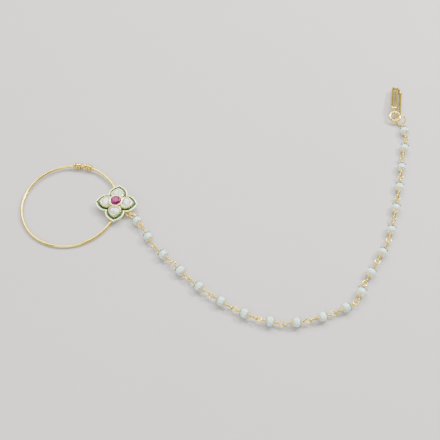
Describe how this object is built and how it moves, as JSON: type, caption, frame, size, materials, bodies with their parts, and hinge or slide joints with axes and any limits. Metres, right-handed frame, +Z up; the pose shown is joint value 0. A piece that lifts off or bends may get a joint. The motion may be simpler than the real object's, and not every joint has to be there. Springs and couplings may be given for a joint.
{
  "type": "nath nose ring with hair chain",
  "caption": "Open wire hoop with a stone-set flower soldered to it and a beaded link chain that ends in a folded wire hair hook.",
  "frame": {"origin": "on the surface that the jewel lies on, below the middle of its bounding box", "axes": "+X to the right as it is seen laid out, from the hoop towards the hair hook; +Y away from the viewer; +Z up, out of the flower's face"},
  "size_m": [0.1706, 0.1214, 0.0056],
  "materials": {
    "gold": "polished gold plate on brass",
    "enamel": "dark green glassy enamel",
    "clear_stone": "white foiled glass, cut with a table",
    "ruby": "ruby-coloured glass, cut with a table",
    "bead": "milky pale green-white, polished"
  },
  "bodies": {
    "root": {"hoop_and_setting": "gold", "enamel_border": "enamel", "petal_stone_1": "clear_stone", "petal_stone_2": "clear_stone", "petal_stone_3": "clear_stone", "petal_stone_4": "clear_stone", "centre_stone": "ruby", "flower_jump_ring": "gold", "hook_jump_ring": "gold", "hair_hook": "gold", "bead_01": "bead", "bead_02": "bead", "bead_03": "bead", "bead_04": "bead", "bead_05": "bead", "bead_06": "bead", "bead_07": "bead", "bead_08": "bead", "bead_09": "bead", "bead_10": "bead", "bead_11": "bead", "bead_12": "bead", "bead_13": "bead", "bead_14": "bead", "bead_15": "bead", "bead_16": "bead", "bead_17": "bead", "bead_18": "bead", "bead_19": "bead", "bead_20": "bead", "bead_link_01": "gold", "bead_link_02": "gold", "bead_link_03": "gold", "bead_link_04": "gold", "bead_link_05": "gold", "bead_link_06": "gold", "bead_link_07": "gold", "bead_link_08": "gold", "bead_link_09": "gold", "bead_link_10": "gold", "bead_link_11": "gold", "bead_link_12": "gold", "bead_link_13": "gold", "bead_link_14": "gold", "bead_link_15": "gold", "bead_link_16": "gold", "bead_link_17": "gold", "bead_link_18": "gold", "bead_link_19": "gold", "bead_link_20": "gold"}
  },
  "joints": []
}
